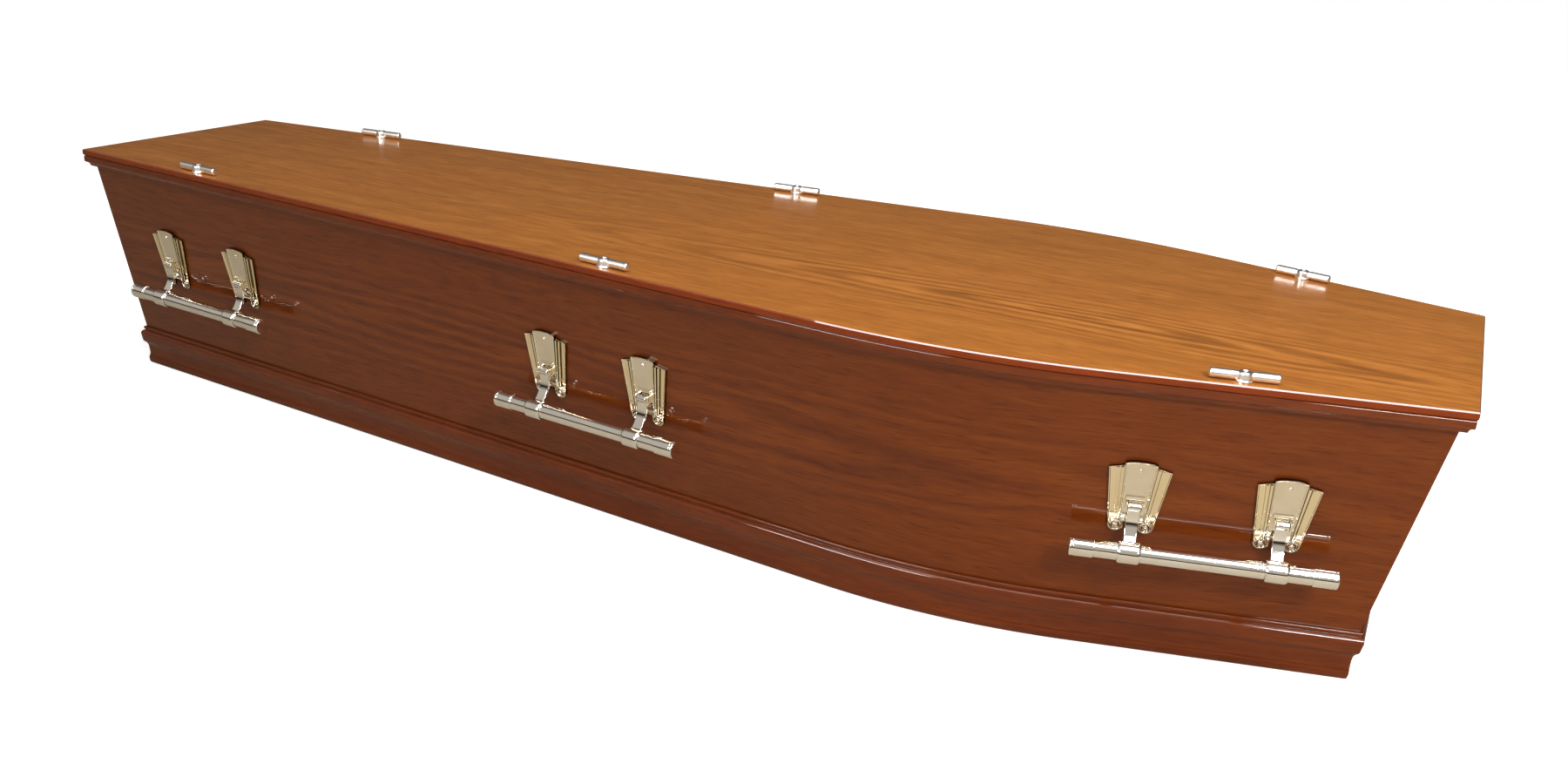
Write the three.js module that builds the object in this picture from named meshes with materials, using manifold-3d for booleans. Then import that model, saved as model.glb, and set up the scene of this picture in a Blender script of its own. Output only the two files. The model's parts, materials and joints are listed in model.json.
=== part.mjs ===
// Wooden coffin with rounded shoulders, a flat screwed lid and six swing bar handles
// Millimetres, +Z up. X runs from the foot to the head, the near side is at -Y.
import * as THREE from 'three';
import { mergeVertices } from 'three/addons/utils/BufferGeometryUtils.js';
import Module from 'manifold-3d';

const wasm = await Module();
wasm.setup();

// Plan of the lid, which overhangs everything else
const LENGTH = 1980;
const FOOT_WIDTH = 382;
const SHOULDER_WIDTH = 695;
const HEAD_WIDTH = 418;
const SHOULDER_FROM_FOOT = 1463;
const SHOULDER_RADIUS = 900;
const SHOULDER_STEPS = 6;

// Heights
const HEIGHT = 354;
const LID_BOARD = 9;
const LID_FRAME = 16;
const PLINTH_HEIGHT = 64;

// Walls, which lean in towards the floor by their rake over the full height
const WALL = 16;
const BASE_BOARD = 16;
const LID_OVERHANG = 10;
const SIDE_RAKE = 57;
const FOOT_RAKE = 23;
const HEAD_RAKE = 58;

// Clearance between pieces that touch, and at each half of a mitre
const GAP = 0.3;

// Lid board edge, and the moulded frame under it
const LID_ARRIS = 2.2;
const FRAME_SETBACK = 0.8;
const FRAME_ARRIS = 2;
const FRAME_FACE = 6;
const FRAME_COVE = 6;

// Plinth moulding, measured out from the wall's face
const PLINTH_TOE = 8.5;
const PLINTH_TOE_RADIUS = 3.5;
const PLINTH_TOE_HEIGHT = 9;
const PLINTH_COVE = 4.6;
const PLINTH_COVE_TOP = 33;
const PLINTH_NOSE = 9.2;
const PLINTH_NOSE_BOTTOM = 38;
const PLINTH_NOSE_TOP = 46;
const PLINTH_QUIRK = 4.2;
const PLINTH_BEAD = 3.4;

// Thumbscrews through the lid's rim
const SCREWS_FROM_FOOT = { foot: 247, middle: 990, head: 1757 };
const SCREW_INSET = 17;
const SCREW_BAR_LENGTH = 73;
const SCREW_BAR_RADIUS = 5.2;
const SCREW_BAR_HEIGHT = 6.2;
const SCREW_HUB_RADIUS = 8.4;
const SCREW_COLLAR_RADIUS = 9.8;
const SCREW_COLLAR_HEIGHT = 2;
const SCREW_DOME = 5;

// Handles, in the frame of the wall: x along it, up its slope, out from its face
const HANDLES_FROM_FOOT = { foot: 223, middle: 967, head: 1750 };
const HANDLE_HEIGHT = 160;
const ARM_SPACING = 158;
const GRIP_LENGTH = 288;
const GRIP_RADIUS = 10;
const GRIP_OUT = 35;
const GRIP_BELOW_PLATE = 8.5;
const CAP_LENGTH = 27;
const CAP_RADIUS = 11.2;
const CAP_ROUND = 2.5;
const COLLAR_LENGTH = 25;
const COLLAR_RADIUS = 12.8;
const COLLAR_CLEARANCE = 0.35;

const ARM_WIDTH = 14;
const ARM_THICKNESS = 3.6;
const ARM_CLEARANCE = 0.5;
const BARREL_RADIUS = 4.5;
const PIVOT_OUT = 10.4;
const PIVOT_UP = 36;

const PLATE_HEIGHT = 84;
const PLATE_BOTTOM_WIDTH = 50;
const PLATE_TOP_WIDTH = 68;
const WING_THICKNESS = 3;
const WING_DROP = 4;
const PANEL_TOP_WIDTH = 35;
const PANEL_BOTTOM_WIDTH = 28;
const PANEL_BOTTOM = 13.6;
const PANEL_THICKNESS = 5;
const PANEL_RISE = 4;
const PANEL_CROWN = 2.5;
const RIB_THICKNESS = 4.2;
const RIB_WIDTH = 2.4;
const RIB_SPACING = 4.2;
const BOSS_RADIUS = 7.2;
const BOSS_AT = 16.5;
const BOSS_UP = 6;
const BOSS_THICKNESS = 5.4;
const LUG_WIDTH = 2.8;
const LUG_HEIGHT = 10;
const LUG_REACH = 4;

// Facets round a circle
const GRIP_SIDES = 10;
const SMALL_SIDES = 8;

// Finishes
const SIDE_VENEER = new THREE.MeshStandardMaterial({ color: 0x6b3a1c, roughness: 0.25 });
const LID_VENEER = new THREE.MeshStandardMaterial({ color: 0xb06c38, roughness: 0.25 });
const MOULDING = new THREE.MeshStandardMaterial({ color: 0x6a2a12, roughness: 0.25 });
const BARE_WOOD = new THREE.MeshStandardMaterial({ color: 0xb89468, roughness: 0.7 });
const BRIGHT_METAL = new THREE.MeshStandardMaterial({ color: 0xd8c49c, roughness: 0.15, metalness: 1 });
const WHITE_METAL = new THREE.MeshStandardMaterial({ color: 0xe4e2de, roughness: 0.12, metalness: 1 });

const NEAR = -1;
const FAR = 1;
const BODY_TOP = HEIGHT - LID_BOARD - LID_FRAME;

const coffin = new THREE.Group();

function addPiece(parent, name, geometry, material) {
  const mesh = new THREE.Mesh(geometry, material);
  mesh.name = name;
  parent.add(mesh);
  return mesh;
}

// Closed shapes as solids that can be joined and cut
function toSolid(geometry) {
  const bare = geometry.clone();
  bare.deleteAttribute('normal');
  bare.deleteAttribute('uv');
  const merged = mergeVertices(bare, 1e-4);
  return new wasm.Manifold(new wasm.Mesh({
    numProp: 3,
    vertProperties: new Float32Array(merged.attributes.position.array),
    triVerts: new Uint32Array(merged.index.array),
  }));
}

function toGeometry(solid) {
  const mesh = solid.getMesh();
  const geometry = new THREE.BufferGeometry();
  geometry.setAttribute('position', new THREE.BufferAttribute(mesh.vertProperties, 3));
  geometry.setIndex(new THREE.BufferAttribute(mesh.triVerts, 1));
  geometry.computeVertexNormals();
  return geometry;
}

function join(geometries) {
  return toGeometry(geometries.map(toSolid).reduce((sum, next) => sum.add(next)));
}

// Plan outline

function planCorners(side) {
  return {
    foot: new THREE.Vector2(-LENGTH / 2, side * FOOT_WIDTH / 2),
    shoulder: new THREE.Vector2(SHOULDER_FROM_FOOT - LENGTH / 2, side * SHOULDER_WIDTH / 2),
    head: new THREE.Vector2(LENGTH / 2, side * HEAD_WIDTH / 2),
  };
}

function direction(from, to) {
  return to.clone().sub(from).normalize();
}

function outwardNormal(along, side) {
  return new THREE.Vector2(-along.y * side, along.x * side);
}

// A station is a point of the lid's outline with the directions in which it moves when
// the side wall and the end wall next to it move out by one
function cornerStation(at, along, side, endSign, endRake) {
  const normal = outwardNormal(along, side);
  return {
    at,
    sideways: new THREE.Vector2(0, 1 / normal.y),
    endways: new THREE.Vector2(endSign, -normal.x * endSign / normal.y),
    endRake,
  };
}

function sideStations(side) {
  const { foot, shoulder, head } = planCorners(side);
  const alongFoot = direction(foot, shoulder);
  const alongHead = direction(shoulder, head);
  const footNormal = outwardNormal(alongFoot, side);
  const headNormal = outwardNormal(alongHead, side);
  const between = footNormal.clone().add(headNormal).divideScalar(1 + footNormal.dot(headNormal));
  const centre = shoulder.clone().addScaledVector(between, -SHOULDER_RADIUS);
  const stations = [cornerStation(foot, alongFoot, side, -1, FOOT_RAKE)];
  for (let step = 0; step <= SHOULDER_STEPS; step += 1) {
    const turn = THREE.MathUtils.lerp(footNormal.angle(), headNormal.angle(), step / SHOULDER_STEPS);
    const normal = new THREE.Vector2(Math.cos(turn), Math.sin(turn));
    const at = centre.clone().addScaledVector(normal, SHOULDER_RADIUS);
    stations.push({ at, sideways: normal, endways: new THREE.Vector2(), endRake: 0 });
  }
  stations.push(cornerStation(head, alongHead, side, 1, HEAD_RAKE));
  return stations;
}

function rakedInset(rake, height) {
  return LID_OVERHANG + rake * (1 - height / HEIGHT);
}

// Where a point of a section lands: out from the wall's face if raked, else from the lid's rim
function landing(station, out, height, raked) {
  const sideOut = out - (raked ? rakedInset(SIDE_RAKE, height) : 0);
  const endOut = out - (raked ? rakedInset(station.endRake, height) : 0);
  return station.at.clone()
    .addScaledVector(station.sideways, sideOut)
    .addScaledVector(station.endways, endOut);
}

// Ends of a run of stations, drawn back so that mitred pieces don't touch
function trimmed(stations) {
  const last = stations.length - 1;
  const forward = direction(stations[0].at, stations[1].at);
  const back = direction(stations[last].at, stations[last - 1].at);
  const run = stations.map((station) => ({ ...station }));
  run[0].at = stations[0].at.clone().addScaledVector(forward, GAP);
  run[last].at = stations[last].at.clone().addScaledVector(back, GAP);
  return run;
}

// A section of the given shape (x out, y up) carried along the stations
function moulding(section, stations, raked) {
  const steps = stations.length - 1;
  const settings = { depth: 1, steps, bevelEnabled: false, curveSegments: 3 };
  const geometry = new THREE.ExtrudeGeometry(section, settings);
  const position = geometry.attributes.position;
  for (let index = 0; index < position.count; index += 1) {
    const station = stations[Math.round(position.getZ(index) * steps)];
    const height = position.getY(index);
    const spot = landing(station, position.getX(index), height, raked);
    position.setXYZ(index, spot.x, spot.y, height);
  }
  geometry.computeVertexNormals();
  return geometry;
}

// The four runs, each in the order that turns its section's faces outwards
const nearRun = sideStations(NEAR);
const farRun = sideStations(FAR);
const RUNS = {
  near: trimmed([...nearRun].reverse()),
  far: trimmed(farRun),
  foot: trimmed([nearRun[0], farRun[0]]),
  head: trimmed([farRun.at(-1), nearRun.at(-1)]),
};

function outline(out, height, raked) {
  const points = [...nearRun, ...[...farRun].reverse()];
  return new THREE.Shape(points.map((station) => landing(station, out, height, raked)));
}

// Walls and base

const wallSection = new THREE.Shape();
wallSection.moveTo(-WALL, 0);
wallSection.lineTo(0, 0);
wallSection.lineTo(0, BODY_TOP - GAP);
wallSection.lineTo(-WALL, BODY_TOP - GAP);
wallSection.closePath();

addPiece(coffin, 'side_board_near', moulding(wallSection, RUNS.near, true), SIDE_VENEER);
addPiece(coffin, 'side_board_far', moulding(wallSection, RUNS.far, true), SIDE_VENEER);
addPiece(coffin, 'foot_board', moulding(wallSection, RUNS.foot, true), SIDE_VENEER);
addPiece(coffin, 'head_board', moulding(wallSection, RUNS.head, true), SIDE_VENEER);

const baseOutline = outline(-WALL - GAP, 0, true);
const baseBoard = new THREE.ExtrudeGeometry(baseOutline, { depth: BASE_BOARD, bevelEnabled: false });
addPiece(coffin, 'base_board', baseBoard, BARE_WOOD);

// Plinth: rounded toe, long cove, nose with a rounded top, then a small bead against the wall

const plinthSection = new THREE.Shape();
plinthSection.moveTo(GAP, 0);
plinthSection.lineTo(PLINTH_TOE - PLINTH_TOE_RADIUS, 0);
plinthSection.quadraticCurveTo(PLINTH_TOE, 0, PLINTH_TOE, PLINTH_TOE_RADIUS);
plinthSection.lineTo(PLINTH_TOE, PLINTH_TOE_HEIGHT);
plinthSection.quadraticCurveTo(PLINTH_COVE, PLINTH_TOE_HEIGHT, PLINTH_COVE, PLINTH_COVE_TOP);
plinthSection.lineTo(PLINTH_NOSE, PLINTH_NOSE_BOTTOM);
plinthSection.lineTo(PLINTH_NOSE, PLINTH_NOSE_TOP);
plinthSection.quadraticCurveTo(PLINTH_NOSE, PLINTH_HEIGHT - PLINTH_BEAD, PLINTH_QUIRK, PLINTH_HEIGHT - PLINTH_BEAD);
plinthSection.lineTo(PLINTH_BEAD, PLINTH_HEIGHT - PLINTH_BEAD);
plinthSection.quadraticCurveTo(PLINTH_BEAD, PLINTH_HEIGHT, PLINTH_BEAD / 3, PLINTH_HEIGHT);
plinthSection.lineTo(GAP, PLINTH_HEIGHT);
plinthSection.closePath();

for (const [name, run] of Object.entries(RUNS)) {
  addPiece(coffin, `plinth_${name}`, moulding(plinthSection, run, true), MOULDING);
}

// Lid: a board with softened edges on a mitred frame, whose face turns in to a cove below

const frameWidth = rakedInset(SIDE_RAKE, BODY_TOP) + WALL;
const frameTop = BODY_TOP + LID_FRAME - GAP;
const frameFaceBottom = frameTop - FRAME_ARRIS - FRAME_FACE;
const frameSection = new THREE.Shape();
frameSection.moveTo(-frameWidth, BODY_TOP);
frameSection.lineTo(-FRAME_SETBACK - FRAME_COVE, BODY_TOP);
frameSection.quadraticCurveTo(-FRAME_SETBACK - FRAME_COVE / 3, BODY_TOP + FRAME_ARRIS, -FRAME_SETBACK, frameFaceBottom);
frameSection.lineTo(-FRAME_SETBACK, frameTop - FRAME_ARRIS);
frameSection.quadraticCurveTo(-FRAME_SETBACK, frameTop, -FRAME_SETBACK - FRAME_ARRIS, frameTop);
frameSection.lineTo(-frameWidth, frameTop);
frameSection.closePath();

for (const [name, run] of Object.entries(RUNS)) {
  addPiece(coffin, `lid_moulding_${name}`, moulding(frameSection, run, false), MOULDING);
}

const lidBoard = new THREE.ExtrudeGeometry(outline(0, HEIGHT, false), {
  depth: LID_BOARD - 2 * LID_ARRIS,
  bevelThickness: LID_ARRIS,
  bevelSize: LID_ARRIS,
  bevelOffset: -LID_ARRIS,
  bevelSegments: 3,
});
lidBoard.translate(0, 0, HEIGHT - LID_BOARD + LID_ARRIS);
addPiece(coffin, 'lid_board', lidBoard, LID_VENEER);

// Frames that stand on the rim of the lid or on the face of a side wall

function rimFrame(side, fromFoot, inset, height) {
  const { foot, shoulder, head } = planCorners(side);
  const [from, to] = fromFoot < SHOULDER_FROM_FOOT ? [foot, shoulder] : [shoulder, head];
  const along = direction(from, to);
  const share = (fromFoot - LENGTH / 2 - from.x) / (to.x - from.x);
  const spot = from.clone().lerp(to, share).addScaledVector(outwardNormal(along, side), -inset);
  const frame = new THREE.Group();
  frame.position.set(spot.x, spot.y, height);
  frame.rotation.z = along.angle() + (side === FAR ? Math.PI : 0);
  coffin.add(frame);
  return frame;
}

function wallFrame(side, fromFoot, height) {
  const upright = rimFrame(side, fromFoot, rakedInset(SIDE_RAKE, height), height);
  const leaning = new THREE.Group();
  leaning.rotation.x = Math.atan(SIDE_RAKE / HEIGHT);
  upright.add(leaning);
  return leaning;
}

// Lid thumbscrew: a bar head across a domed hub on a flat collar

function turned(points, sides) {
  return new THREE.LatheGeometry(points.map(([radius, y]) => new THREE.Vector2(radius, y)), sides);
}

const screwHub = turned([
  [0, GAP],
  [SCREW_COLLAR_RADIUS, GAP],
  [SCREW_COLLAR_RADIUS, SCREW_COLLAR_HEIGHT],
  [SCREW_HUB_RADIUS, SCREW_COLLAR_HEIGHT + 1],
  [SCREW_HUB_RADIUS, SCREW_BAR_HEIGHT],
  [SCREW_HUB_RADIUS * 0.7, SCREW_BAR_HEIGHT + SCREW_DOME * 0.7],
  [0, SCREW_BAR_HEIGHT + SCREW_DOME],
], SMALL_SIDES);
screwHub.rotateX(Math.PI / 2);

const screwBar = turned([
  [0, -SCREW_BAR_LENGTH / 2],
  [SCREW_BAR_RADIUS * 0.7, -SCREW_BAR_LENGTH / 2 + 1],
  [SCREW_BAR_RADIUS, -SCREW_BAR_LENGTH / 2 + SCREW_BAR_RADIUS],
  [SCREW_BAR_RADIUS, SCREW_BAR_LENGTH / 2 - SCREW_BAR_RADIUS],
  [SCREW_BAR_RADIUS * 0.7, SCREW_BAR_LENGTH / 2 - 1],
  [0, SCREW_BAR_LENGTH / 2],
], SMALL_SIDES);
screwBar.rotateZ(Math.PI / 2);
screwBar.translate(0, 0, SCREW_BAR_HEIGHT);

const screwGeometry = join([screwHub, screwBar]);
for (const [sideName, side] of [['near', NEAR], ['far', FAR]]) {
  for (const [where, fromFoot] of Object.entries(SCREWS_FROM_FOOT)) {
    const frame = rimFrame(side, fromFoot, SCREW_INSET, HEIGHT);
    addPiece(frame, `lid_screw_${sideName}_${where}`, screwGeometry.clone(), WHITE_METAL);
  }
}

// Back plate: splayed wings, ribs and a raised panel, with two round bosses beside the arm.
// It is drawn flat, x along the wall and y up it, and turned to stand on the wall.

function slab(points, thickness) {
  const shape = new THREE.Shape(points.map(([x, y]) => new THREE.Vector2(x, y)));
  return new THREE.ExtrudeGeometry(shape, { depth: thickness, bevelEnabled: false });
}

function panelHalfWidth(up) {
  return THREE.MathUtils.lerp(PANEL_BOTTOM_WIDTH, PANEL_TOP_WIDTH, up / PLATE_HEIGHT) / 2;
}

function rib(hand, order) {
  const foot = hand * (panelHalfWidth(PANEL_BOTTOM) + order * RIB_SPACING - RIB_SPACING / 2);
  const top = hand * (panelHalfWidth(PLATE_HEIGHT) + order * RIB_SPACING - RIB_SPACING / 2);
  const width = hand * RIB_WIDTH / 2;
  const rise = PLATE_HEIGHT - WING_DROP;
  const corners = [
    [foot - width, PANEL_BOTTOM], [foot + width, PANEL_BOTTOM],
    [top + width / 2, rise], [top - width, rise],
  ];
  return slab(hand > 0 ? corners : corners.reverse(), RIB_THICKNESS);
}

function boss(hand) {
  const round = turned([
    [0, 0],
    [BOSS_RADIUS, 0],
    [BOSS_RADIUS, BOSS_THICKNESS - 1.4],
    [BOSS_RADIUS - 2, BOSS_THICKNESS],
    [0, BOSS_THICKNESS],
  ], SMALL_SIDES);
  round.rotateX(Math.PI / 2);
  round.translate(hand * BOSS_AT, BOSS_UP, 0);
  return round;
}

function lug(hand) {
  const root = PANEL_THICKNESS / 2;
  const depth = PIVOT_OUT + LUG_REACH - root;
  const block = new THREE.BoxGeometry(LUG_WIDTH, LUG_HEIGHT, depth);
  block.translate(hand * (ARM_WIDTH / 2 + ARM_CLEARANCE + LUG_WIDTH / 2), PIVOT_UP, root + depth / 2);
  return block;
}

function plateGeometry() {
  const topHalf = PLATE_TOP_WIDTH / 2;
  const bottomHalf = PLATE_BOTTOM_WIDTH / 2;
  const shoulderHalf = panelHalfWidth(PLATE_HEIGHT);
  const wings = slab([
    [-bottomHalf, BOSS_UP], [-BOSS_AT, 0], [BOSS_AT, 0], [bottomHalf, BOSS_UP],
    [topHalf, PLATE_HEIGHT - WING_DROP], [shoulderHalf, PLATE_HEIGHT],
    [-shoulderHalf, PLATE_HEIGHT], [-topHalf, PLATE_HEIGHT - WING_DROP],
  ], WING_THICKNESS);
  const panelTop = PLATE_HEIGHT + PANEL_RISE;
  const footHalf = panelHalfWidth(PANEL_BOTTOM);
  const panel = slab([
    [-footHalf, PANEL_BOTTOM], [footHalf, PANEL_BOTTOM],
    [shoulderHalf, panelTop], [shoulderHalf / 2, panelTop + PANEL_CROWN * 0.75],
    [0, panelTop + PANEL_CROWN],
    [-shoulderHalf / 2, panelTop + PANEL_CROWN * 0.75], [-shoulderHalf, panelTop],
  ], PANEL_THICKNESS);
  const plate = join([
    wings, panel, boss(-1), boss(1), lug(-1), lug(1),
    rib(-1, 1), rib(1, 1), rib(-1, 2), rib(1, 2),
  ]);
  plate.rotateX(Math.PI / 2);
  plate.translate(0, -GAP, 0);
  return plate;
}

// Swing arm: a barrel at the pivot, a curved strap, and a collar that the grip runs through.
// It is drawn with x out from the wall and y up it, and turned to hang on the wall.

function armGeometry() {
  const gripUp = -GRIP_BELOW_PLATE;
  const bend = new THREE.QuadraticBezierCurve(
    new THREE.Vector2(PIVOT_OUT + 1, PIVOT_UP),
    new THREE.Vector2(PIVOT_OUT - 0.5, BOSS_UP),
    new THREE.Vector2(GRIP_OUT - 1, gripUp + GRIP_RADIUS / 2),
  );
  const bendSteps = 4;
  const front = [];
  const back = [];
  for (let step = 0; step <= bendSteps; step += 1) {
    const at = bend.getPoint(step / bendSteps);
    const along = bend.getTangent(step / bendSteps);
    const across = new THREE.Vector2(-along.y, along.x).multiplyScalar(ARM_THICKNESS / 2);
    front.push(at.clone().add(across));
    back.unshift(at.clone().sub(across));
  }
  const strap = new THREE.ExtrudeGeometry(new THREE.Shape([...back, ...front]), {
    depth: ARM_WIDTH,
    bevelEnabled: false,
  });
  strap.translate(0, 0, -ARM_WIDTH / 2);
  const barrel = new THREE.CylinderGeometry(BARREL_RADIUS, BARREL_RADIUS, ARM_WIDTH, SMALL_SIDES);
  barrel.rotateX(Math.PI / 2);
  barrel.translate(PIVOT_OUT, PIVOT_UP, 0);

  const half = COLLAR_LENGTH / 2;
  const bore = GRIP_RADIUS + COLLAR_CLEARANCE;
  const collar = turned([
    [bore, -half],
    [COLLAR_RADIUS, -half],
    [COLLAR_RADIUS, half],
    [bore, half],
    [bore, -half],
  ], GRIP_SIDES);
  collar.rotateX(Math.PI / 2);
  collar.translate(GRIP_OUT, gripUp, 0);

  const core = new THREE.CylinderGeometry(bore, bore, COLLAR_LENGTH * 2, GRIP_SIDES);
  core.rotateX(Math.PI / 2);
  core.translate(GRIP_OUT, gripUp, 0);
  const whole = join([toGeometry(toSolid(strap).subtract(toSolid(core))), barrel, collar]);
  const turn = new THREE.Matrix4().makeBasis(
    new THREE.Vector3(0, -1, 0),
    new THREE.Vector3(0, 0, 1),
    new THREE.Vector3(-1, 0, 0),
  );
  whole.applyMatrix4(turn);
  return whole;
}

// Grip: a round bar with a thicker cap at each end

function gripGeometry() {
  const end = GRIP_LENGTH / 2;
  const inner = end - CAP_LENGTH;
  const right = [
    [GRIP_RADIUS, inner - 1],
    [CAP_RADIUS, inner],
    [CAP_RADIUS, end - CAP_ROUND],
    [CAP_RADIUS - CAP_ROUND, end],
    [0, end],
  ];
  const left = right.map(([radius, y]) => [radius, -y]).reverse();
  const grip = turned([...left, ...right], GRIP_SIDES);
  grip.rotateZ(Math.PI / 2);
  grip.translate(0, -GRIP_OUT, -GRIP_BELOW_PLATE);
  return grip;
}

const plateShape = plateGeometry();
const armShape = armGeometry();
const gripShape = gripGeometry();

function addHandle(side, sideName, where, fromFoot) {
  const frame = wallFrame(side, fromFoot, HANDLE_HEIGHT);
  const name = `handle_${sideName}_${where}`;
  addPiece(frame, `${name}_bar`, gripShape.clone(), WHITE_METAL);
  for (const end of ['foot', 'head']) {
    const towardsHead = end === 'head' ? 1 : -1;
    const at = -side * towardsHead * ARM_SPACING / 2;
    addPiece(frame, `${name}_arm_${end}`, armShape.clone(), WHITE_METAL).position.x = at;
    addPiece(frame, `${name}_plate_${end}`, plateShape.clone(), BRIGHT_METAL).position.x = at;
  }
}

for (const [sideName, side] of [['near', NEAR], ['far', FAR]]) {
  for (const [where, fromFoot] of Object.entries(HANDLES_FROM_FOOT)) {
    addHandle(side, sideName, where, fromFoot);
  }
}

export default coffin;
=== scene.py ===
import json
import math

import bmesh
import bpy
from mathutils import Matrix, Vector


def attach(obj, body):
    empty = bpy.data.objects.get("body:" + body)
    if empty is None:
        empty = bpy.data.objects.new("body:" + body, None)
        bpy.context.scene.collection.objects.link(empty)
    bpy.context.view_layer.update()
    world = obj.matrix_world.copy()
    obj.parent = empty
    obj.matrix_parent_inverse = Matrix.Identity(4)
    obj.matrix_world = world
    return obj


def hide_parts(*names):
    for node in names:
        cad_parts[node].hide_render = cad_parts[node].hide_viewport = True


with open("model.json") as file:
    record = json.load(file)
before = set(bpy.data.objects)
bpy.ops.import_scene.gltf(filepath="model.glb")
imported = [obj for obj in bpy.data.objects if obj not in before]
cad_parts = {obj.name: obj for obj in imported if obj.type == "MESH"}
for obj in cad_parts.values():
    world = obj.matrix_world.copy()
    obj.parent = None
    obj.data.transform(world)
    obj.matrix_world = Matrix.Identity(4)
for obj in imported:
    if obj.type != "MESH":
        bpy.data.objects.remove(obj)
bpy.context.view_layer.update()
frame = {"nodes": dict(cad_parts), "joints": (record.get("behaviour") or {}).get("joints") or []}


# Side walls. Two long boards of veneered panel, each bent round once at the shoulder over cuts made
# behind the face. They lean in towards the floor and meet the end walls in glued mitres.

LENGTH = 1.980
FOOT_WIDTH = 0.382
SHOULDER_WIDTH = 0.695
HEAD_WIDTH = 0.418
SHOULDER_FROM_FOOT = 1.463
SHOULDER_RADIUS = 0.900
SHOULDER_STEPS = 48
HEIGHT = 0.354
BODY_TOP = 0.329
LID_OVERHANG = 0.010
SIDE_RAKE = 0.057
END_RAKES = {"foot": 0.023, "head": 0.058}
WALL = 0.016
BOARD_GAP = 0.0003
MITRE_GAP = 0.00005
SPARE_LENGTH = 0.12
ROUNDING_STEPS = 6
MERGE_WITHIN = 1e-6
SIDES = {"near": -1, "far": 1}
ENDS = {"foot": -1, "head": 1}
UP = Vector((0, 0, 1))


class SidePlan:
    """Outline of the lid along one side: foot, shoulder, head, and the arc between the straights."""

    def __init__(self, side):
        self.foot = Vector((-LENGTH / 2, side * FOOT_WIDTH / 2, 0))
        self.shoulder = Vector((SHOULDER_FROM_FOOT - LENGTH / 2, side * SHOULDER_WIDTH / 2, 0))
        self.head = Vector((LENGTH / 2, side * HEAD_WIDTH / 2, 0))
        self.along_foot = (self.shoulder - self.foot).normalized()
        self.along_head = (self.head - self.shoulder).normalized()
        self.out_foot = Vector((-self.along_foot.y, self.along_foot.x, 0)) * side
        self.out_head = Vector((-self.along_head.y, self.along_head.x, 0)) * side
        cosine = self.out_foot.dot(self.out_head)
        self.centre = self.shoulder - (self.out_foot + self.out_head) / (1 + cosine) * SHOULDER_RADIUS
        self.turn = -side * math.acos(cosine)
        self.arc_start = self.centre + self.out_foot * SHOULDER_RADIUS
        self.arc_end = self.centre + self.out_head * SHOULDER_RADIUS


PLANS = {name: SidePlan(side) for name, side in SIDES.items()}


def inset_at(rake, up):
    """How far inside the lid's rim a wall's face stands at a height, or none for the lid itself."""
    return 0 if rake is None else LID_OVERHANG + rake * (1 - up / HEIGHT)


def round_corners(bm, corners, radius, steps):
    """Rounds corners of a flat outline or a line."""
    bmesh.ops.bevel(
        bm, geom=corners, offset=radius, offset_type="OFFSET", segments=steps, profile=0.5,
        affect="VERTICES", clamp_overlap=True, material=-1)


def soften_edges(bm, edges, radius, steps):
    """Bevels edges of a solid shape, or rounds them where there is more than one step."""
    bmesh.ops.bevel(
        bm, geom=edges, offset=radius, offset_type="OFFSET", segments=steps, profile=0.5,
        affect="EDGES", clamp_overlap=True, material=-1)


def swept_round(bm, items, centre, axis, angle, steps, closed=False):
    """Sweeps part of a shape round an axis and returns what lies at the far end."""
    return bmesh.ops.spin(
        bm, geom=items, cent=centre, axis=axis, dvec=(0, 0, 0), angle=angle, steps=steps,
        use_merge=closed, use_normal_flip=False, use_duplicate=False)["geom_last"]


def section_face(bm, start, outward, points, rake):
    """A section across a run, from its corners (out, up, rounding, steps), as one face."""
    rounded = []
    corners = []
    for out, up, *rounding in points:
        spot = start + outward * (out - inset_at(rake, up)) + UP * up
        corners.append(bm.verts.new(spot))
        if rounding:
            rounded.append((corners[-1], rounding))
    bm.faces.new(corners)
    for corner, rounding in rounded:
        steps = rounding[1] if len(rounding) > 1 else ROUNDING_STEPS
        round_corners(bm, [corner], rounding[0], steps)
    bm.faces.ensure_lookup_table()
    return bm.faces[0]


def extruded(bm, face, move):
    """Draws a face out by a move and returns the face at the new end."""
    grown = bmesh.ops.extrude_face_region(bm, geom=[face])["geom"]
    moved = [item for item in grown if isinstance(item, bmesh.types.BMVert)]
    bmesh.ops.translate(bm, verts=moved, vec=move)
    return next(item for item in grown if isinstance(item, bmesh.types.BMFace))


def cut_off(bm, at, normal):
    """Saws off what lies beyond a plane and closes the cut."""
    whole = bm.verts[:] + bm.edges[:] + bm.faces[:]
    made = bmesh.ops.bisect_plane(
        bm, geom=whole, plane_co=at, plane_no=normal, clear_outer=True)["geom_cut"]
    rim = [item for item in made if isinstance(item, bmesh.types.BMEdge)]
    bmesh.ops.edgeloop_fill(bm, edges=rim)


def mitre(side_name, end_name, raked):
    """The plane in which a side piece meets an end piece, facing the end piece."""
    plan = PLANS[side_name]
    end = ENDS[end_name]
    corner = plan.foot if end_name == "foot" else plan.head
    normal = plan.out_foot if end_name == "foot" else plan.out_head
    sideways = Vector((0, 1 / normal.y, 0))
    endways = Vector((end, -normal.x * end / normal.y, 0))
    rise = UP.copy()
    at = corner.copy()
    if raked:
        end_rake = END_RAKES[end_name]
        rise += (sideways * SIDE_RAKE + endways * end_rake) / HEIGHT
        at -= sideways * (LID_OVERHANG + SIDE_RAKE) + endways * (LID_OVERHANG + end_rake)
    facing = (sideways + endways).cross(rise).normalized()
    if facing.dot(corner - plan.shoulder) < 0:
        facing.negate()
    return at, facing


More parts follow.
